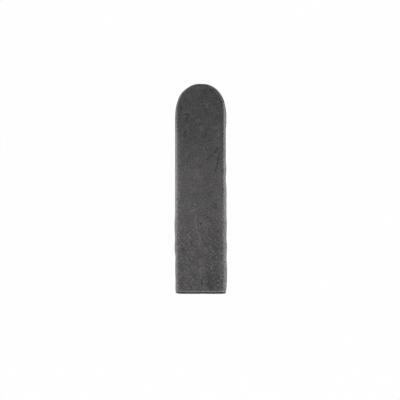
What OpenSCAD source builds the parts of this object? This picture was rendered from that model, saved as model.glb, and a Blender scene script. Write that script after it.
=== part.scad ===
// Parallel machine key with a round nose and a square-cut tail, lying on its lower flat face.
// Sizes are in millimetres. +Y runs towards the nose and +Z is up.
// The origin is on the lower face, below the middle of the key's length and width.

/* [Key] */
// Width between the two flanks that carry the torque
key_w = 6; // [4:0.5:12]
// Height between the lower and the upper flat face
key_h = 6; // [4:0.5:12]
// Length from the tail to the tip of the nose
key_l = 24; // [16:0.5:60]

/* [Edges] */
// Radius of the bar's long edges, which runs on round the nose
edge_r = 0.3; // [0.1:0.05:0.6]
// Length of the shallow bevel round the sawn tail, along the key
tail_bevel_l = 0.2; // [0.05:0.05:0.5]
// Depth of that bevel at the tail
tail_bevel_d = 0.08; // [0.02:0.02:0.3]

/* [Hidden] */
$fn = 96;

steel_colour = [0.32, 0.315, 0.315];

// The nose is a true half circle, as wide as the bar
nose_r = key_w / 2;
nose_centre_y = key_l / 2 - nose_r;
tail_y = -key_l / 2;
shank_l = nose_centre_y - tail_y;

// Cross-section of the drawn bar, standing on the X axis: a rectangle with rounded corners
module bar_section() {
    corner_x = key_w / 2 - edge_r;
    translate([-corner_x, 0]) square([2 * corner_x, key_h]);
    translate([-key_w / 2, edge_r]) square([key_w, key_h - 2 * edge_r]);
    for (x = [-corner_x, corner_x], z = [edge_r, key_h - edge_r])
        translate([x, z]) circle(r = edge_r);
}

// Straight bar from the centre of the nose back to the tail
module shank() {
    translate([0, nose_centre_y, 0]) rotate([90, 0, 0])
        linear_extrude(shank_l) bar_section();
}

// Half turn of half the bar's section, so the rounded edge follows the nose
module nose() {
    translate([0, nose_centre_y, 0]) rotate_extrude(angle = 180)
        intersection() {
            bar_section();
            square([nose_r, key_h]);
        }
}

// Wedge lying along X over a face at the tail, where it cuts the bevel
module bevel_wedge() {
    // Overshoot that keeps the wedge's other sides clear of the bar
    over = 1;
    slope = tail_bevel_d / tail_bevel_l;
    rotate([90, 0, 90]) linear_extrude(2 * (key_w + key_h), center = true)
        polygon([
            [tail_bevel_l, 0],
            [-over, -slope * (tail_bevel_l + over)],
            [-over, over],
            [tail_bevel_l, over],
        ]);
}

// One wedge for each of the bar's four sides
module tail_bevel_cuts() {
    for (turn = [0 : 90 : 270])
        translate([0, tail_y, key_h / 2]) rotate([0, turn, 0])
            translate([0, 0, (turn % 180 == 0 ? key_h : key_w) / 2])
                bevel_wedge();
}

module key() {
    color(steel_colour)
        difference() {
            union() {
                shank();
                nose();
            }
            tail_bevel_cuts();
        }
}

key();
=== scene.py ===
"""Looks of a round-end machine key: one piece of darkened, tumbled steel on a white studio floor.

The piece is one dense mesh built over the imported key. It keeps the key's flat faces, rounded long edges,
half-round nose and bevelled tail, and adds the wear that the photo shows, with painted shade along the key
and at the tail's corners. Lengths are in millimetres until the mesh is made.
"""
import math

import bmesh
import bpy
import numpy as np
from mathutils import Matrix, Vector, noise


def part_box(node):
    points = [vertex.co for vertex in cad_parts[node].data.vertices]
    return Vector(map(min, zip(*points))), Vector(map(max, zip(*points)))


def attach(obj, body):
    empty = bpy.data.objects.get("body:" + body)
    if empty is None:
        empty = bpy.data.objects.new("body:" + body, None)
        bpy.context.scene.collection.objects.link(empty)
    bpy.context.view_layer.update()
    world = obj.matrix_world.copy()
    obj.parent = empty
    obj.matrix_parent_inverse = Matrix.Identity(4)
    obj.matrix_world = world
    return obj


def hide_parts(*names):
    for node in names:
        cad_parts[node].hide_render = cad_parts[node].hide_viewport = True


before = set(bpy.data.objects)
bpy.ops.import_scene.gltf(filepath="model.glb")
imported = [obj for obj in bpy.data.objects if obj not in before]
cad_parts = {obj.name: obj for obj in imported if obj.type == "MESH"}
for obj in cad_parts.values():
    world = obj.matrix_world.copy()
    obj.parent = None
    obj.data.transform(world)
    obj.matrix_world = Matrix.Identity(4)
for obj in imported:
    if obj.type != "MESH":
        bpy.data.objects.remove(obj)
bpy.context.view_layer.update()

MM = 0.001
SEED = 6
rng = np.random.default_rng(SEED)

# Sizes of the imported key
key_low, key_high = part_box("key")
HALF_WIDTH = (key_high.x - key_low.x) / 2 / MM
HEIGHT = (key_high.z - key_low.z) / MM
MID_HEIGHT = HEIGHT / 2
CAD_TAIL_Y = key_low.y / MM
CAD_TIP_Y = key_high.y / MM

# Worn ends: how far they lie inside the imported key
TIP_WORN = 0.03
TAIL_WORN = 0.03
TIP_Y = CAD_TIP_Y - TIP_WORN
TAIL_Y = CAD_TAIL_Y + TAIL_WORN
NOSE_Y = CAD_TIP_Y - HALF_WIDTH

# How far the rounding of the long edges reaches down the flanks
ROUND_DOWN = 0.30

# Where the flat faces end: from the nose's centre at the tip, from the middle line on both sides,
# and the rows of the photo between which wear narrows them
TIP_FLAT = 2.90
NOSE_RIGHT_FLAT = 2.53
TAIL_RIGHT_FLAT = 2.37
RIGHT_FLAT_ROWS = (140, 235)
NOSE_LEFT_FLAT = 2.58
SHANK_LEFT_FLAT = 2.22
LEFT_FLAT_ROWS = (104, 178)

# Form of the rounding, the power of a superellipse: 1 is a flat chamfer and 2 a round
RIGHT_FORM = 1.3
TAIL_RIGHT_FORM = 1.15
TIP_FORM = 2.0
LEFT_FORM = 2.0

# Shallow bevel round the sawn tail, and the radius of the two arrises beside it
BEVEL_RUN = 0.20
BEVEL_DEPTH = 0.08
ARRIS_ROUND = 0.05

# Worn upright corners of the tail: their depths across the key, and their form as above
LEFT_CORNER = 0.30
RIGHT_CORNER = 0.14
CORNER_FORM = 1.5

# Cells of the mesh, and how close its points are merged
ACROSS_CELLS = 76
SHANK_CELLS = 287
NOSE_CELLS = 32
ROUND_CELLS = 7
FLANK_CELLS = 40
ARRIS_CELLS = 3
BEVEL_CELLS = 4
MERGE_DISTANCE = 0.001

# Where the photo shows the key, in its own pixels
PHOTO_SIZE = 400
PHOTO_TIP_ROW = 83.9
PHOTO_TAIL_ROW = 293.85
PHOTO_MID_COLUMN = 200.78
MM_PER_PIXEL = (TIP_Y - TAIL_Y) / (PHOTO_TAIL_ROW - PHOTO_TIP_ROW)


def row_y(row):
    """Place along the key of a row of the photo."""
    return TIP_Y - (row - PHOTO_TIP_ROW) * MM_PER_PIXEL


def photo_row(y):
    """Row of the photo for a place along the key."""
    return PHOTO_TIP_ROW + (TIP_Y - y) / MM_PER_PIXEL


def face_point(pixel):
    """Place on the upper face of a pixel of the photo."""
    column, row = pixel
    return np.array([(column - PHOTO_MID_COLUMN) * MM_PER_PIXEL, row_y(row)])


def soft_spot(distance, reach):
    """1 at the middle of a spot, falling smoothly to 0 outside its reach."""
    return np.exp(-((distance / reach) ** 2))


def smooth_step(value, low, high):
    """0 at low and 1 at high, with a smooth change between them."""
    share = np.clip((value - low) / (high - low), 0, 1)
    return share * share * (3 - 2 * share)


def smooth_curve(place, points):
    """Smooth curve through points, with no overshoot between them and level beyond its ends."""
    knots, values = np.array(points, float).T
    rises = np.diff(values) / np.diff(knots)
    before, after = rises[:-1], rises[1:]
    slopes = np.zeros(len(knots))
    climbs = before * after > 0
    slopes[1:-1][climbs] = 2 * before[climbs] * after[climbs] / (before + after)[climbs]

    place = np.clip(place, knots[0], knots[-1])
    end = np.clip(np.searchsorted(knots, place), 1, len(knots) - 1)
    start = end - 1
    span = knots[end] - knots[start]
    share = (place - knots[start]) / span
    blend = smooth_step(share, 0, 1)
    bend = span * share * (1 - share) * ((1 - share) * slopes[start] - share * slopes[end])
    return values[start] * (1 - blend) + values[end] * blend + bend


# Worn outline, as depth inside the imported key: by row of the photo on the flanks,
# and by degrees round the nose
LEFT_WEAR = [
    (109.9, 0.112),
    (114.0, 0.080),
    (118.0, 0.064),
    (208.0, 0.062),
    (218.0, 0.046),
    (222.0, 0.002),
    (227.0, 0.000),
    (238.5, 0.052),
    (248.5, 0.004),
    (256.5, 0.098),
    (264.0, 0.078),
    (273.0, 0.088),
    (283.0, 0.108),
    (288.0, 0.096),
    (291.6, 0.116),
]
RIGHT_WEAR = [
    (109.9, 0.126),
    (114.0, 0.080),
    (122.0, 0.066),
    (130.0, 0.148),
    (161.0, 0.148),
    (168.5, 0.080),
    (178.5, 0.146),
    (190.5, 0.062),
    (215.0, 0.062),
    (224.0, 0.024),
    (238.0, 0.070),
    (247.5, 0.000),
    (256.5, 0.052),
    (268.0, 0.002),
    (277.0, 0.000),
    (285.0, 0.035),
    (289.0, 0.072),
    (291.6, 0.135),
]
NOSE_WEAR = [
    (0, 0.126),
    (10, 0.176),
    (25, 0.130),
    (40, 0.080),
    (50, 0.027),
    (62, -0.016),
    (72, -0.020),
    (90, TIP_WORN),
    (100, 0.000),
    (108, 0.004),
    (121, 0.050),
    (130, 0.055),
    (147, 0.101),
    (162, 0.160),
    (172, 0.158),
    (180, 0.112),
]

# Below the upper edge the waves fade to an even wear, which deepens towards the narrow start of the nose:
# wear of the flanks, rows and degrees of that narrow place, how far down, and how much the waves fade
EVEN_WEAR = 0.14
NARROW_ROWS = (110, 140)
NARROW_DEGREES = (10, 162)
FADE_DEPTHS = (0.5, 2.6)
WAVE_FADE = 0.9


def nose_angle(x, y):
    """Angle round the nose's centre: 0 on the right flank, and half a turn on the left one."""
    return np.arctan2(np.maximum(y - NOSE_Y, 0), x)


def round_curve(x, y, left, nose, right):
    """Value of three curves round the key: by row of the photo on the flanks, by degrees round the nose."""
    row = photo_row(y)
    on_flank = np.where(x > 0, smooth_curve(row, right), smooth_curve(row, left))
    on_nose = smooth_curve(np.degrees(nose_angle(x, y)), nose)
    return np.where(y > NOSE_Y, on_nose, on_flank)


def outline_reach(x, y):
    """Distance of the worn outline from the key's middle line, or from the nose's centre beyond that."""
    return HALF_WIDTH - round_curve(x, y, LEFT_WEAR, NOSE_WEAR, RIGHT_WEAR)


def low_reach(x, y):
    """The same distance lower down the side, where the waves have faded."""
    degrees = np.degrees(nose_angle(x, y))
    nose_wear = smooth_curve(np.clip(degrees, *NARROW_DEGREES), NOSE_WEAR)
    on_flank = smooth_step(photo_row(y), *NARROW_ROWS)
    return HALF_WIDTH - (nose_wear + (EVEN_WEAR - nose_wear) * on_flank)


def round_nose(angle, right, tip, left):
    """A size that runs from right through tip to left round the half circle of the nose."""
    across = np.cos(angle)
    beside = np.where(across > 0, right, left)
    return beside * across**2 + tip * np.sin(angle) ** 2


def flat_reach(x, y):
    """Distance of the flat faces' edge, where the rounding starts. Wear narrows them towards the tail."""
    row = photo_row(y)
    left = NOSE_LEFT_FLAT + (SHANK_LEFT_FLAT - NOSE_LEFT_FLAT) * smooth_step(row, *LEFT_FLAT_ROWS)
    right = NOSE_RIGHT_FLAT + (TAIL_RIGHT_FLAT - NOSE_RIGHT_FLAT) * smooth_step(row, *RIGHT_FLAT_ROWS)
    return round_nose(nose_angle(x, y), right, TIP_FLAT, left)


def across_shares():
    """Places across the key, from -1 at its left side to 1 at its right side."""
    return np.linspace(-1, 1, ACROSS_CELLS + 1)


def nose_disc():
    """Grid over the unit half disc, after its straight first row: the last row and the sides are round."""
    across, along = np.meshgrid(across_shares(), np.linspace(0, 1, NOSE_CELLS + 1)[1:])
    x = across * np.sqrt(1 - along**2 / 2)
    y = along * np.sqrt(1 - across**2 / 2)
    return x, y


def plan():
    """Plan of the key, seen from above: the grid of its flat face, and the stations round its outline.

    A station has its centre, its outward direction, the reach of the flat face, of the flank's upper edge
    and of the flank lower down, and the form of the rounding."""
    first_y = TAIL_Y + BEVEL_RUN + ARRIS_ROUND
    shank_y = np.linspace(first_y, NOSE_Y, SHANK_CELLS + 1)
    ones = np.ones_like(shank_y)
    left_flat = flat_reach(-ones, shank_y)
    right_flat = flat_reach(ones, shank_y)
    shares = across_shares()
    shank_x = np.where(shares < 0, shares * left_flat[:, None], shares * right_flat[:, None])

    worn = smooth_step(photo_row(shank_y), *RIGHT_FLAT_ROWS)
    right_form = RIGHT_FORM + (TAIL_RIGHT_FORM - RIGHT_FORM) * worn

    disc_x, disc_y = nose_disc()
    nose_y = NOSE_Y + disc_y
    nose_flat = flat_reach(disc_x, nose_y)
    nose_form = round_nose(np.arctan2(disc_y, disc_x), RIGHT_FORM, TIP_FORM, LEFT_FORM)
    grid_x = np.vstack([shank_x, disc_x * nose_flat])
    grid_y = np.vstack([np.repeat(shank_y[:, None], len(shares), 1), NOSE_Y + disc_y * nose_flat])

    def round_outline(shank_left, nose, shank_right):
        """Values at the stations, from the left of the tail round the nose to the right of the tail."""
        return np.concatenate(
            [shank_left, nose[:, 0], nose[-1, 1:-1], nose[::-1, -1], shank_right[::-1]]
        )

    def round_reach(reach):
        """A reach at the stations."""
        return round_outline(reach(-ones, shank_y), reach(disc_x, nose_y), reach(ones, shank_y))

    stations = {
        "centre_y": round_outline(shank_y, np.full_like(disc_x, NOSE_Y), shank_y),
        "out_x": round_outline(-ones, disc_x, ones),
        "out_y": round_outline(0 * ones, disc_y, 0 * ones),
        "flat": round_reach(flat_reach),
        "reach": round_reach(outline_reach),
        "low_reach": round_reach(low_reach),
        "form": round_outline(LEFT_FORM * ones, nose_form, right_form),
    }
    return grid_x, grid_y, stations


def side_profile():
    """Steps down the side as shares: out over the rounding, of the flank's half height, up the rounding."""
    quarter = np.linspace(0, math.pi / 2, ROUND_CELLS + 1)
    flank = np.linspace(1, -1, FLANK_CELLS + 1)[1:-1]
    out = np.concatenate([np.sin(quarter), np.ones_like(flank), np.cos(quarter)])
    level = np.concatenate([np.ones_like(quarter), flank, -np.ones_like(quarter)])
    up = np.concatenate([np.cos(quarter), 0 * flank, -np.sin(quarter)])
    return out, level, up


def tail_rings():
    """Steps from the shank round to the tail's face: share of the corners' depth, inset and height."""
    tilt = math.atan2(BEVEL_DEPTH, BEVEL_RUN)
    turn = np.linspace(0, tilt, ARRIS_CELLS + 1)
    start_inset = ARRIS_ROUND * (1 - np.cos(turn))
    start_height = BEVEL_RUN + ARRIS_ROUND * (math.tan(tilt / 2) - np.sin(turn))
    turn = np.linspace(tilt, math.pi / 2, ARRIS_CELLS + 1)
    end_inset = BEVEL_DEPTH + ARRIS_ROUND * (math.tan(math.pi / 4 - tilt / 2) - np.cos(turn))
    end_height = ARRIS_ROUND * (1 - np.sin(turn))
    slope_inset = np.linspace(start_inset[-1], end_inset[0], BEVEL_CELLS + 1)[1:-1]
    slope_height = np.linspace(start_height[-1], end_height[0], BEVEL_CELLS + 1)[1:-1]
    inset = np.concatenate([start_inset, slope_inset, end_inset])
    height = np.concatenate([start_height, slope_height, end_height])
    share = 1 - height / height[0]
    corner = 1 - (1 - share**CORNER_FORM) ** (1 / CORNER_FORM)
    return corner, inset, height


def filled_loop(top, right, bottom, left):
    """Grid between four edges that meet at their ends. Top and bottom run left to right, the others down."""
    across = np.linspace(0, 1, len(top))[None, :, None]
    down = np.linspace(0, 1, len(left))[:, None, None]
    between_sides = (1 - across) * left[:, None] + across * right[:, None]
    between_ends = (1 - down) * top[None] + down * bottom[None]
    top_corners = (1 - across) * top[0] + across * top[-1]
    bottom_corners = (1 - across) * bottom[0] + across * bottom[-1]
    return between_sides + between_ends - ((1 - down) * top_corners + down * bottom_corners)


def key_patches():
    """The worn key's skin before its dents, as grids of points that share their edges."""
    grid_x, grid_y, stations = plan()
    upper = np.stack([grid_x, grid_y, np.full_like(grid_x, HEIGHT)], -1)
    lower = np.stack([grid_x, grid_y, np.zeros_like(grid_x)], -1)

    out, level, up = side_profile()
    flat = stations["flat"][:, None]
    bend = 2 / stations["form"][:, None]
    rounding = ROUND_DOWN * np.sign(up) * np.abs(up) ** bend
    side_z = MID_HEIGHT + (MID_HEIGHT - ROUND_DOWN) * level + rounding
    fade = WAVE_FADE * smooth_step(HEIGHT - side_z, *FADE_DEPTHS)
    flank = stations["reach"][:, None] * (1 - fade) + stations["low_reach"][:, None] * fade
    reach = flat + (flank - flat) * out**bend
    side_x = stations["out_x"][:, None] * reach
    side_y = stations["centre_y"][:, None] + stations["out_y"][:, None] * reach
    side = np.stack([side_x, side_y, side_z], -1)

    ring_edges = []
    for points in (upper[0], side[-1], lower[0], side[0]):
        x = points[:, 0]
        z = points[:, 2]
        corner_depth = np.where(x < 0, LEFT_CORNER, RIGHT_CORNER)
        rings = [points]
        for corner, inset, height in zip(*tail_rings()):
            ring_x = x * (1 - corner * corner_depth / HALF_WIDTH)
            ring_z = MID_HEIGHT + (z - MID_HEIGHT) * (1 - inset / MID_HEIGHT)
            rings.append(np.stack([ring_x, np.full_like(x, TAIL_Y + height), ring_z], -1))
        ring_edges.append(np.stack(rings))
    tail = filled_loop(*[rings[-1] for rings in ring_edges])
    return [upper, lower, side, *ring_edges, tail]


def patch_mesh(name, patches):
    """One closed mesh from grids of points, merged along their shared edges, in metres."""
    points = []
    quads = []
    start = 0
    for patch in patches:
        rows, columns = patch.shape[:2]
        index = start + np.arange(rows * columns).reshape(rows, columns)
        corners = [index[:-1, :-1], index[:-1, 1:], index[1:, 1:], index[1:, :-1]]
        quads.append(np.stack(corners, -1).reshape(-1, 4))
        points.append(patch.reshape(-1, 3))
        start += rows * columns
    mesh = bpy.data.meshes.new(name)
    mesh.from_pydata((np.concatenate(points) * MM).tolist(), [], np.concatenate(quads).tolist())
    shell = bmesh.new()
    shell.from_mesh(mesh)
    bmesh.ops.remove_doubles(shell, verts=shell.verts, dist=MERGE_DISTANCE * MM)
    bmesh.ops.recalc_face_normals(shell, faces=shell.faces)
    shell.to_mesh(mesh)
    shell.free()
    mesh.shade_smooth()
    return mesh


# Dark pits and stains on the upper face, and painted shade at the two corners of the tail's bevel: pixels of
# the photo, half width in pixels, depth, darkness
DARK_MARKS_AND_PAINTED_SHADE = [
    ([(187.5, 114.3), (187.6, 116.2), (187.1, 117.6), (186.5, 118.8), (186.5, 120.8)], 0.7, 0.020, 0.65),
    ([(185.5, 114.0), (186.6, 114.0)], 0.7, 0.008, 0.32),
    ([(185.4, 131.0), (185.2, 136.5)], 0.8, 0.015, 0.50),
    ([(217.6, 147.6), (215.4, 151.8)], 1.0, 0.010, 0.45),
    ([(213.4, 154.0), (209.6, 157.0), (206.6, 159.5)], 0.8, 0.006, 0.32),
    (
        [(219.3, 153.3), (218.3, 156.5), (218.2, 159.4), (217.3, 162.0), (217.0, 166.0), (215.6, 170.4)],
        0.8,
        0.008,
        0.36,
    ),
    ([(212.7, 147.5)], 0.9, 0.012, 0.40),
    ([(206.8, 133.0), (204.2, 136.8)], 0.8, 0.010, 0.35),
    ([(205.4, 109.0), (205.8, 112.0)], 0.9, 0.010, 0.30),
    ([(181.2, 106.0), (181.4, 109.5)], 1.2, 0.006, 0.30),
    ([(200.2, 167.0)], 1.0, 0.014, 0.40),
    ([(191.3, 169.0)], 0.9, 0.012, 0.35),
    ([(216.2, 185.0)], 1.1, 0.012, 0.35),
    ([(178.4, 207.4)], 0.9, 0.015, 0.45),
    ([(205.4, 215.0), (207.6, 216.4)], 1.4, 0.010, 0.30),
    ([(200.4, 223.4), (200.8, 225.2)], 1.1, 0.008, 0.40),
    ([(191.6, 242.6), (192.2, 244.4)], 0.9, 0.020, 0.55),
    ([(181.2, 248.4), (182.6, 249.6)], 0.9, 0.020, 0.50),
    ([(184.2, 249.2), (184.6, 250.8)], 0.8, 0.018, 0.45),
    ([(202.0, 280.6), (202.6, 283.0)], 0.9, 0.020, 0.50),
    ([(209.8, 284.8), (212.2, 286.2), (214.8, 284.2)], 1.1, 0.010, 0.20),
    ([(219.4, 275.6), (219.6, 277.0)], 0.8, 0.015, 0.40),
    # Painted shade: the dark strip of the tail's bevel at its two corners, with no depth
    ([(177.6, 292.6), (180.2, 292.5)], 0.8, 0.000, 0.90),
    ([(220.6, 292.5), (224.2, 292.5)], 0.8, 0.000, 0.90),
]

# Light scratches and rubbed spots on the upper face: pixels of the photo, half width in pixels, depth,
# lightness
LIGHT_MARKS = [
    ([(207.0, 105.2), (207.4, 107.2)], 1.2, 0.004, 0.62),
    ([(191.8, 86.6), (193.2, 88.2)], 0.7, 0.004, 0.35),
    ([(185.9, 112.2), (188.0, 112.0)], 0.8, 0.000, 0.30),
    ([(186.2, 115.8)], 0.7, 0.000, 0.25),
    ([(197.8, 88.4), (199.4, 88.8)], 0.9, 0.003, 0.42),
    ([(218.3, 133.6), (218.6, 135.4)], 1.0, 0.003, 0.45),
    ([(214.6, 154.6), (216.0, 154.8)], 0.8, 0.000, 0.28),
    ([(222.6, 152.2)], 0.9, 0.000, 0.30),
    ([(216.5, 145.4)], 1.2, 0.000, 0.18),
    ([(198.0, 120.6), (198.4, 122.2)], 1.4, 0.003, 0.38),
    ([(201.4, 127.4), (202.2, 129.0)], 1.6, 0.003, 0.34),
    ([(190.8, 211.8), (194.6, 208.8)], 0.8, 0.004, 0.38),
    ([(188.2, 202.6), (188.8, 205.4)], 0.8, 0.004, 0.28),
    ([(195.6, 215.8), (195.2, 219.0), (194.8, 222.0)], 0.8, 0.004, 0.56),
    ([(195.8, 224.0), (197.6, 232.0), (200.2, 237.2), (200.9, 241.0), (198.6, 245.2)], 0.7, 0.004, 0.52),
    ([(187.4, 235.2), (190.9, 238.4)], 0.8, 0.005, 0.65),
    ([(192.4, 251.6), (192.6, 253.6)], 0.8, 0.005, 0.32),
    ([(199.4, 260.4), (200.6, 262.4)], 0.9, 0.004, 0.65),
    ([(211.4, 266.4), (211.4, 269.8)], 0.8, 0.004, 0.46),
    ([(190.2, 276.0), (190.9, 277.4)], 0.9, 0.004, 0.55),
    ([(203.0, 281.6), (204.0, 279.8)], 0.8, 0.004, 0.35),
    ([(220.5, 273.8), (220.7, 278.2)], 0.8, 0.003, 0.50),
    ([(177.8, 289.8), (178.8, 291.0), (180.4, 291.3)], 1.0, 0.000, 0.95),
    ([(221.4, 290.0), (222.4, 290.4)], 0.8, 0.000, 0.55),
]

# Broad stains and lighter places on the upper face: pixels of the photo, half width in pixels, tone
STAINS = [
    ([(209.0, 178.0), (209.5, 290.0)], 4.5, -0.08),
    ([(209.5, 232.0), (209.5, 290.0)], 4.5, -0.05),
    ([(210.0, 275.0), (211.5, 284.0)], 4.5, -0.20),
    ([(201.0, 286.5)], 3.5, -0.10),
    ([(216.0, 222.0), (216.5, 282.0)], 3.5, -0.14),
    ([(220.5, 279.0), (220.5, 288.0)], 3.0, -0.20),
    ([(215.0, 204.0), (215.4, 208.0)], 2.2, -0.22),
    ([(188.0, 219.0), (188.5, 223.0)], 3.0, -0.12),
    ([(184.0, 168.0), (186.0, 226.0)], 7.0, 0.06),
    ([(218.0, 184.0), (218.0, 198.0)], 4.0, 0.08),
    ([(220.6, 172.0), (220.6, 286.0)], 2.0, 0.14),
    ([(218.0, 130.0), (218.0, 142.0)], 5.0, 0.16),
    ([(180.5, 139.0), (180.5, 148.0)], 2.5, 0.14),
    ([(186.5, 155.5), (196.5, 147.0)], 2.0, 0.16),
    ([(178.0, 247.0), (178.6, 254.0)], 1.6, 0.30),
    ([(184.0, 95.0), (189.0, 97.0)], 4.5, 0.12),
    ([(191.0, 87.8), (203.0, 86.4)], 2.4, 0.24),
    ([(196.0, 171.0), (199.0, 177.0)], 4.0, 0.15),
    ([(191.0, 184.0), (195.0, 187.0)], 4.0, 0.10),
    ([(204.0, 219.0), (206.0, 232.0)], 2.0, 0.08),
    ([(206.0, 249.0), (206.0, 252.0)], 2.0, 0.20),
]

# Small ring left by a knock on the upper face, in pixels of the photo: its mark as for a light scratch
RING_MIDDLE = (202.2, 270.0)
RING_RADIUS = 2.3
RING_POINTS = 16
RING_MARK = (0.7, 0.004, 0.40)

# Dents and scratches at seeded places all over the key. A dent's slope is its depth beside its radius
DENT_COUNT = 260
DENT_RADII = (0.12, 0.36)
DENT_SLOPES = (0.012, 0.04)
SCRATCH_COUNT = 70
SCRATCH_LENGTHS = (0.4, 2.4)
SCRATCH_HALF_WIDTH = 0.07
SCRATCH_DEPTH = 0.004
SCRATCH_LIGHTNESS = 0.22

# Unevenness of the drawn bar, and the marks of the saw on the tail
UNEVEN_DEPTH = 0.010
UNEVEN_SPACING = 3.0
SAW_DEPTH = 0.010
SAW_SPACING = 0.34
SAW_BOW = 0.02
SAW_FINENESS = 1.7
SAW_SKEW = 0.03
SAW_DARKNESS = 0.45

# Where the skin starts to face up, back or aside and where it fully does, by its normal's share
# along Z, -Y and Z
FACES_UP = (0.5, 0.9)
FACES_BACK = (0.8, 0.98)
FACES_ASIDE = (0.6, 0.2)


def line_distance(points, line):
    """Distance of each point from a line of one or more points."""
    if len(line) == 1:
        return np.linalg.norm(points - line[0], axis=1)
    nearest = np.full(len(points), np.inf)
    for start, end in zip(line[:-1], line[1:]):
        run = end - start
        share = np.clip((points - start) @ run / (run @ run), 0, 1)
        nearest = np.minimum(nearest, np.linalg.norm(points - start - share[:, None] * run, axis=1))
    return nearest


def ring_line():
    """The knocked ring as a closed line of photo pixels."""
    turns = np.linspace(0, 2 * math.pi, RING_POINTS + 1)
    column, row = RING_MIDDLE
    return [(column + RING_RADIUS * math.cos(turn), row + RING_RADIUS * math.sin(turn)) for turn in turns]


def photo_marks(points, normals):
    """Depth and tone of the marks that the photo shows on the upper face, with painted shade at the tail's
    two corners.
    """
    depth = np.zeros(len(points))
    tone = np.zeros(len(points))
    faces_up = smooth_step(normals[:, 2], *FACES_UP)
    marks = [(line, half, deep, -dark) for line, half, deep, dark in DARK_MARKS_AND_PAINTED_SHADE]
    marks += LIGHT_MARKS + [(ring_line(), *RING_MARK)]
    marks += [(line, half, 0, change) for line, half, change in STAINS]
    for line, half_width, deep, change in marks:
        places = np.array([face_point(pixel) for pixel in line])
        spot = faces_up * soft_spot(line_distance(points[:, :2], places), half_width * MM_PER_PIXEL)
        depth += deep * spot
        tone += change * spot
    return depth, tone


def spread_marks(points, normals):
    """Depth and tone of dents and scratches. The upper face has the photo's scratches instead of these."""
    depth = np.zeros(len(points))
    tone = np.zeros(len(points))
    not_upper = 1 - smooth_step(normals[:, 2], *FACES_UP)
    for middle in rng.integers(len(points), size=DENT_COUNT):
        radius = rng.uniform(*DENT_RADII)
        deep = radius * rng.uniform(*DENT_SLOPES)
        depth += deep * soft_spot(np.linalg.norm(points - points[middle], axis=1), radius)
    for middle in rng.integers(len(points), size=SCRATCH_COUNT):
        along = np.cross(normals[middle], rng.normal(size=3))
        along *= rng.uniform(*SCRATCH_LENGTHS) / 2 / np.linalg.norm(along)
        line = np.array([points[middle] - along, points[middle] + along])
        spot = not_upper * soft_spot(line_distance(points, line), SCRATCH_HALF_WIDTH)
        depth += SCRATCH_DEPTH * spot
        tone += SCRATCH_LIGHTNESS * spot
    return depth, tone


def uneven_depth(points):
    """Slow unevenness of the drawn bar."""
    waves = [noise.noise(Vector(place)) for place in points / UNEVEN_SPACING]
    return UNEVEN_DEPTH * (1 + np.clip(waves, -1, 1)) / 2


def saw_lines(points, normals):
    """Two sets of bowed lines that the saw left across the tail: 0 on their crests, 1 in their valleys."""
    faces_back = smooth_step(-normals[:, 1], *FACES_BACK)
    bowed = points[:, 2] + SAW_BOW * points[:, 0] ** 2
    coarse = np.sin(2 * math.pi * bowed / SAW_SPACING)
    fine = np.sin(2 * math.pi * (bowed / SAW_SPACING * SAW_FINENESS + SAW_SKEW * points[:, 0]))
    return faces_back * (2 + coarse + fine) / 4


# Rubbed edges: how far in over the flat faces, beside the flanks and at the tip
RUB_IN = 0.10
TIP_RUB_IN = 0.22

# How much of the finish is gone at the outline: by row of the photo on the flanks,
# and by degrees round the nose
LEFT_RUBBED = [
    (110, 0.76),
    (165, 0.85),
    (195, 0.86),
    (270, 0.66),
]
RIGHT_RUBBED = [
    (110, 0.86),
    (125, 0.95),
    (165, 0.95),
    (225, 0.78),
]
NOSE_RUBBED = [
    (0, 0.86),
    (35, 0.80),
    (55, 0.96),
    (90, 0.48),
    (130, 1.00),
    (150, 0.98),
    (180, 0.76),
]

# Bright line along the tail's arris: distance from the tail, half width, how much of the finish is gone
ARRIS_PLACE = 0.27
ARRIS_RUB = 0.06
ARRIS_RUBBED = 0.80

# Light flecks on the flat faces, by row of the photo: few at the nose and more towards the tail
FLECKED = [
    (196, 0.20),
    (216, 1.00),
]

# Painted shade along the key: the finish is darkened towards the nose and a little towards the tail, by row
# of the photo
PAINTED_SHADE_ALONG_KEY = [
    (90, 0.14),
    (140, 0.13),
    (172, 0.02),
    (200, 0.01),
    (245, 0.06),
    (290, 0.03),
]


def rubbed_share(points):
    """How much of the finish is rubbed off near the edges."""
    x, y, z = points.T
    outline = outline_reach(x, y)
    inside = outline - np.hypot(x, np.maximum(y - NOSE_Y, 0))
    from_face = np.minimum(z, HEIGHT - z)
    from_edge = np.maximum(np.maximum(inside, from_face), 0)
    rub_in = round_nose(nose_angle(x, y), RUB_IN, TIP_RUB_IN, RUB_IN)
    reach = outline - flat_reach(x, y) + rub_in
    rubbed = round_curve(x, y, LEFT_RUBBED, NOSE_RUBBED, RIGHT_RUBBED)
    long_edge = rubbed * np.clip(1 - from_edge / reach, 0, 1)

    from_tail = y - TAIL_Y
    arris = ARRIS_RUBBED * soft_spot(from_tail - ARRIS_PLACE, ARRIS_RUB)
    return np.where(from_tail < ARRIS_PLACE, arris, np.maximum(arris, long_edge))


def add_values(mesh, name, values):
    """Stores one number per vertex for the material to read."""
    layer = mesh.attributes.new(name, "FLOAT", "POINT")
    layer.data.foreach_set("value", values.astype(np.float32))


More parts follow.
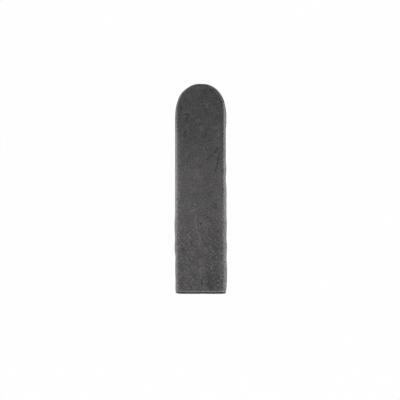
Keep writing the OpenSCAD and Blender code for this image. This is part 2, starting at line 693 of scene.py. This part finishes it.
def build_key():
    """The worn key as one mesh, with the values that its material reads."""
    mesh = patch_mesh("key_worn", key_patches())
    count = len(mesh.vertices)
    flat = np.empty(count * 3, np.float32)
    mesh.vertices.foreach_get("co", flat)
    points = flat.reshape(-1, 3).astype(float) / MM
    mesh.vertices.foreach_get("normal", flat)
    normals = flat.reshape(-1, 3).astype(float)

    photo_depth, photo_tone = photo_marks(points, normals)
    spread_depth, spread_tone = spread_marks(points, normals)
    saw = saw_lines(points, normals)
    depth = photo_depth + spread_depth + uneven_depth(points) + SAW_DEPTH * saw
    tone = photo_tone + spread_tone - SAW_DARKNESS * saw
    worn = points - normals * depth[:, None]
    # The worn key is set down on the floor again
    worn[:, 2] -= max(worn[:, 2].min(), 0)
    mesh.vertices.foreach_set("co", (worn * MM).astype(np.float32).ravel())
    mesh.update()

    side = smooth_step(np.abs(normals[:, 2]), *FACES_ASIDE)
    row = photo_row(points[:, 1])
    add_values(mesh, "rub", rubbed_share(points))
    add_values(mesh, "tone", np.clip(tone, -1, 1))
    add_values(mesh, "side", side)
    # Painted shade along the key, darker towards the nose and the tail
    add_values(mesh, "dark", smooth_curve(row, PAINTED_SHADE_ALONG_KEY))
    add_values(mesh, "flecked", smooth_curve(row, FLECKED) * (1 - side))

    key = bpy.data.objects.new("key_worn", mesh)
    bpy.context.scene.collection.objects.link(key)
    return key


# Value round which a noise node swings
NOISE_MIDDLE = 0.5

# Sockets of a mix node for colours: its share and both colours going in, and its result
MIX_INPUTS = (0, 6, 7)
MIX_OUTPUT = 2


class NodeMaker:
    """Adds shader nodes to one tree and wires them up. Its shorter calls give the new node's output."""

    def __init__(self, tree):
        self.tree = tree
        tree.nodes.clear()

    def add(self, kind, inputs=None, **settings):
        """A new node, with its settings and with its inputs fed."""
        node = self.tree.nodes.new(kind)
        for name, value in settings.items():
            setattr(node, name, value)
        for name, value in (inputs or {}).items():
            self.feed(node, name, value)
        return node

    def feed(self, node, name, value):
        """Links an input to another node's output, or sets it to a plain value."""
        socket = node.inputs[name]
        if isinstance(value, bpy.types.NodeSocket):
            self.tree.links.new(value, socket)
        else:
            socket.default_value = value

    def math(self, operation, *values):
        """One step of arithmetic."""
        node = self.add("ShaderNodeMath", operation=operation)
        for place, value in enumerate(values):
            self.feed(node, place, value)
        return node.outputs[0]

    def attribute(self, name):
        """A number that is stored on the mesh."""
        return self.add("ShaderNodeAttribute", attribute_name=name).outputs["Fac"]

    def noise(self, place, scale, detail, roughness):
        """Noise between 0 and 1."""
        inputs = {"Vector": place, "Scale": scale, "Detail": detail, "Roughness": roughness}
        return self.add("ShaderNodeTexNoise", inputs).outputs["Fac"]

    def swing(self, place, scale, detail, roughness):
        """Noise that swings to both sides of 0."""
        return self.math("SUBTRACT", self.noise(place, scale, detail, roughness), NOISE_MIDDLE)

    def step(self, value, low, high, to_low=0.0, to_high=1.0):
        """Smooth change from to_low to to_high as value goes from low to high."""
        inputs = {"Value": value, "From Min": low, "From Max": high, "To Min": to_low, "To Max": to_high}
        return self.add("ShaderNodeMapRange", inputs, interpolation_type="SMOOTHSTEP").outputs["Result"]

    def mix(self, share, first, second):
        """Colour between two colours."""
        node = self.add("ShaderNodeMix", data_type="RGBA")
        for place, value in zip(MIX_INPUTS, (share, first, second)):
            self.feed(node, place, value)
        return node.outputs[MIX_OUTPUT]

    def sum(self, *values):
        """All the values added up."""
        total = values[0]
        for value in values[1:]:
            total = self.math("ADD", total, value)
        return total


# Colours of the steel, as linear red, green and blue
DARK_FINISH = (0.036, 0.0346, 0.0349, 1)
LIGHT_FINISH = (0.112, 0.1076, 0.1086, 1)
BARE_STEEL = (0.225, 0.222, 0.221, 1)
BLACK = (0, 0, 0, 1)

# Turn of the grain about each axis in radians, so that the grid of its noise lies along no face
GRAIN_TURN = (0.7, 0.3, 0.9)

# Tone of the plain finish, halfway between the dark and the light one
MIDDLE_TONE = 0.5

# Grain of the finish: features per millimetre, octaves, roughness of the octaves, and share of the tone
GRAIN = (1.3, 1.0, 0.65)
GRAIN_SHARE = 0.68
FINE_GRAIN = (7.0, 1.0, 0.6)
FINE_SHARE = 1.28
BROAD_GRAIN = (0.22, 1.0, 0.5)
BROAD_SHARE = 0.10

# Light flecks: noise as above, where they start and are full in it, share of the tone
FLECKS = (5.0, 1.0, 0.5)
FLECK_RANGE = (0.58, 0.70)
FLECK_SHARE = 1.5

# Sides: share of the mottle there, and lines along the drawn bar, as noise with its stretch and its share
SIDE_MOTTLE = 0.55
LINES = (4.0, 2.0, 0.6)
LINE_STRETCH = (1.0, 0.05, 1.0)
LINE_SHARE = 0.55

# Rubbed edges: how far the grain and the fine grain break them up, and where bare steel starts and is full
RUB_GRAIN = 0.15
RUB_FINE = 0.9
RUB_RANGE = (0.10, 1.0)

# Roughness of the finish over a range of its grain, how much smoother bare steel is,
# and height of the grain in metres
ROUGHNESS_GRAIN = (-0.2, 0.2)
FINISH_ROUGHNESS = (0.29, 0.37)
BARE_POLISH = 0.06
GRAIN_BUMP = 9.0e-6


def steel_material():
    """Darkened, tumbled steel: a mottled dark finish with pits, flecks and edges rubbed to bare metal, and
    painted shade along the key.
    """
    material = bpy.data.materials.new("darkened_steel")
    material.use_nodes = True
    make = NodeMaker(material.node_tree)
    coordinates = make.add("ShaderNodeTexCoord").outputs["Object"]
    scaled = make.add("ShaderNodeVectorMath", {0: coordinates, "Scale": 1 / MM}, operation="SCALE")
    place = scaled.outputs[0]
    side = make.attribute("side")

    turned = make.add("ShaderNodeMapping", {"Vector": place, "Rotation": GRAIN_TURN}).outputs[0]
    grain = make.swing(turned, *GRAIN)
    fine = make.swing(turned, *FINE_GRAIN)
    broad = make.swing(turned, *BROAD_GRAIN)
    flecks = make.noise(turned, *FLECKS)
    light_flecks = make.step(flecks, *FLECK_RANGE, 0.0, FLECK_SHARE)
    mottle = make.sum(
        make.math("MULTIPLY", grain, GRAIN_SHARE),
        make.math("MULTIPLY", fine, FINE_SHARE),
        make.math("MULTIPLY", broad, BROAD_SHARE),
        make.math("MULTIPLY", light_flecks, make.attribute("flecked")),
    )
    mottle = make.math("MULTIPLY", mottle, make.step(side, 0.0, 1.0, 1.0, SIDE_MOTTLE))
    stretched = make.add("ShaderNodeVectorMath", {0: place, 1: LINE_STRETCH}, operation="MULTIPLY")
    lines = make.math("MULTIPLY", make.swing(stretched.outputs[0], *LINES), side)
    drawn = make.math("MULTIPLY", lines, LINE_SHARE)
    shade = make.sum(mottle, drawn, make.attribute("tone"), MIDDLE_TONE)
    finish = make.mix(shade, DARK_FINISH, LIGHT_FINISH)
    # Painted shade: the finish is darkened along the key towards the nose and the tail
    finish = make.mix(make.attribute("dark"), finish, BLACK)

    rub = make.sum(
        make.attribute("rub"),
        make.math("MULTIPLY", grain, RUB_GRAIN),
        make.math("MULTIPLY", fine, RUB_FINE),
    )
    bare = make.step(rub, *RUB_RANGE)
    colour = make.mix(bare, finish, BARE_STEEL)

    rough_finish = make.step(grain, *ROUGHNESS_GRAIN, *FINISH_ROUGHNESS)
    roughness = make.math("SUBTRACT", rough_finish, make.math("MULTIPLY", bare, BARE_POLISH))
    height = make.sum(grain, fine, flecks)
    bump = make.add("ShaderNodeBump", {"Distance": GRAIN_BUMP, "Height": height})
    shader = make.add(
        "ShaderNodeBsdfPrincipled",
        {
            "Base Color": colour,
            "Metallic": 1.0,
            "Roughness": roughness,
            "Normal": bump.outputs["Normal"],
        },
    )
    make.add("ShaderNodeOutputMaterial", {"Surface": shader.outputs["BSDF"]})
    return material


# White of the studio, and the strength at which a glow of that colour renders as white
WHITE = (1, 1, 1, 1)
WHITE_STRENGTH = 1.0

# Floor: half its width in metres, its colour, and how much of what is seen of it is plain white,
# so that only a faint shadow stays
FLOOR_HALF = 1.5
FLOOR_COLOUR = (0.85, 0.85, 0.85, 1)
FLOOR_GLOW = 0.975

# Room: white at the horizon and grey overhead, and the heights of a direction between which it changes
ROOM_OVERHEAD = (0.2, 0.2, 0.2, 1)
ROOM_CHANGE = (0.3, 0.9)

# Lamps: place and size in metres, brightness beside the white background
LAMPS = {
    "overhead": ((0.0, -0.0135, 0.150), (0.10, 0.093), 1.23),
    "left": ((-0.150, 0.0, 0.105), (0.13, 0.26), 0.94),
    "right": ((0.150, 0.0, 0.105), (0.13, 0.26), 1.03),
}


def seen_share(make, share):
    """The given share for rays from the camera, from metal or through glass, and 0 for diffuse light."""
    path = make.add("ShaderNodeLightPath").outputs
    seen = make.math("MAXIMUM", path["Is Camera Ray"], path["Is Glossy Ray"])
    seen = make.math("MAXIMUM", seen, path["Is Transmission Ray"])
    return make.math("MULTIPLY", seen, share)


def build_floor():
    """White floor that keeps the key's shadow."""
    mesh = bpy.data.meshes.new("floor")
    corners = [(-1, -1), (1, -1), (1, 1), (-1, 1)]
    mesh.from_pydata([(FLOOR_HALF * x, FLOOR_HALF * y, 0) for x, y in corners], [], [(0, 1, 2, 3)])
    floor = bpy.data.objects.new("floor", mesh)
    bpy.context.scene.collection.objects.link(floor)
    material = bpy.data.materials.new("white_floor")
    material.use_nodes = True
    make = NodeMaker(material.node_tree)
    diffuse = make.add("ShaderNodeBsdfDiffuse", {"Color": FLOOR_COLOUR}).outputs[0]
    glow = make.add("ShaderNodeEmission", {"Color": WHITE, "Strength": WHITE_STRENGTH}).outputs[0]
    surface = make.add("ShaderNodeMixShader", {0: seen_share(make, FLOOR_GLOW), 1: diffuse, 2: glow})
    make.add("ShaderNodeOutputMaterial", {"Surface": surface.outputs[0]})
    mesh.materials.append(material)


def build_room():
    """Pale light from all round."""
    world = bpy.data.worlds.new("studio")
    bpy.context.scene.world = world
    world.use_nodes = True
    make = NodeMaker(world.node_tree)
    direction = make.add("ShaderNodeTexCoord").outputs["Generated"]
    upward = make.add("ShaderNodeSeparateXYZ", {"Vector": direction}).outputs["Z"]
    colour = make.mix(make.step(upward, *ROOM_CHANGE), WHITE, ROOM_OVERHEAD)
    background = make.add("ShaderNodeBackground", {"Color": colour, "Strength": WHITE_STRENGTH})
    make.add("ShaderNodeOutputWorld", {"Surface": background.outputs[0]})


def build_lamps():
    """Soft lamps that face the key. A lamp's power follows from its size and its brightness."""
    aim = Vector((0, 0, HEIGHT * MM))
    for name, (place, (width, length), brightness) in LAMPS.items():
        lamp = bpy.data.lights.new(name, "AREA")
        lamp.shape = "RECTANGLE"
        lamp.size = width
        lamp.size_y = length
        lamp.energy = brightness * math.pi * width * length
        holder = bpy.data.objects.new(name, lamp)
        holder.location = place
        holder.rotation_euler = (aim - Vector(place)).to_track_quat("-Z", "Y").to_euler()
        holder.visible_camera = False
        bpy.context.scene.collection.objects.link(holder)


# Camera: lens and sensor in millimetres, and the nearest and farthest that it sees in metres
LENS = 100
SENSOR = 36
CLIP = (0.001, 10)


def build_camera():
    """Camera straight above, at the distance that gives the photo's scale at the height of the outline."""
    camera = bpy.data.cameras.new("camera")
    camera.lens = LENS
    camera.sensor_width = SENSOR
    camera.clip_start, camera.clip_end = CLIP
    middle_x, middle_y = face_point((PHOTO_SIZE / 2, PHOTO_SIZE / 2))
    distance = PHOTO_SIZE * MM_PER_PIXEL * LENS / SENSOR
    holder = bpy.data.objects.new("camera", camera)
    holder.location = Vector((middle_x, middle_y, HEIGHT - ROUND_DOWN + distance)) * MM
    bpy.context.scene.collection.objects.link(holder)
    bpy.context.scene.camera = holder


build_camera()
build_floor()
build_room()
build_lamps()
bpy.context.scene.view_settings.view_transform = "Standard"

key = build_key()
key.data.materials.append(steel_material())
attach(key, "root")
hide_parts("key")
